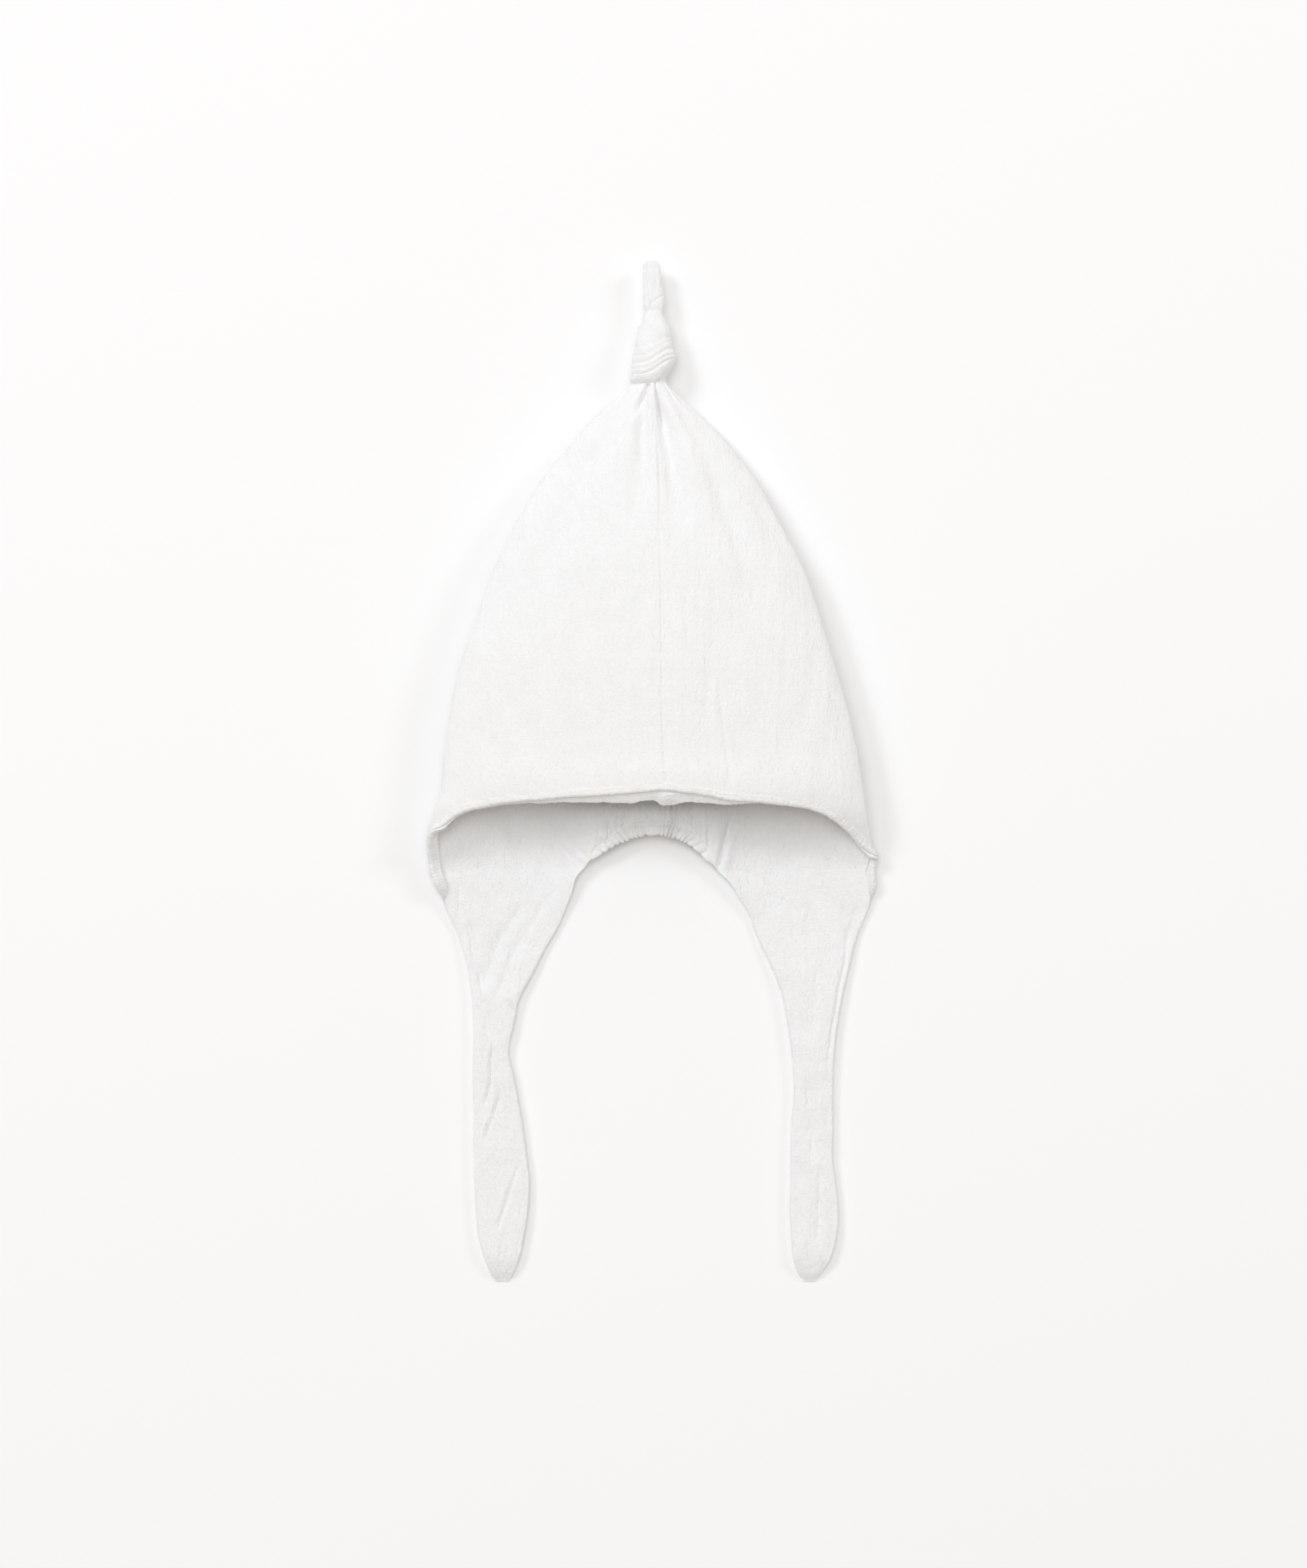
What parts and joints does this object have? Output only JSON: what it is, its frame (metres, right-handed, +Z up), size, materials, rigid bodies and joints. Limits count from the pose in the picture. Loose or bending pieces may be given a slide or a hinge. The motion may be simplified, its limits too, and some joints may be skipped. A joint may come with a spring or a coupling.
{
  "type": "nightcap",
  "caption": "Infant's peaked muslin nightcap with a knotted top, rolled face hem, gathered nape and ear flaps that run on into ties, lying flat on its back.",
  "frame": {"origin": "middle of the lying cap's box, on the surface that it lies on", "axes": "+Z up from that surface, +Y towards the tail of the top knot, +X to the right-hand side as seen from above"},
  "size_m": [0.2218, 0.4988, 0.0357],
  "materials": {
    "muslin": "white crinkled cotton muslin, matt",
    "hem_muslin": "white cotton muslin, rolled and stitched",
    "casing_muslin": "white cotton muslin, gathered on elastic"
  },
  "bodies": {
    "root": {"crown_left": "muslin", "crown_right": "muslin", "front_hem": "hem_muslin", "nape_casing": "casing_muslin", "ear_tie_left": "muslin", "ear_tie_right": "muslin", "top_knot": "muslin", "knot_tail": "muslin"}
  },
  "joints": []
}
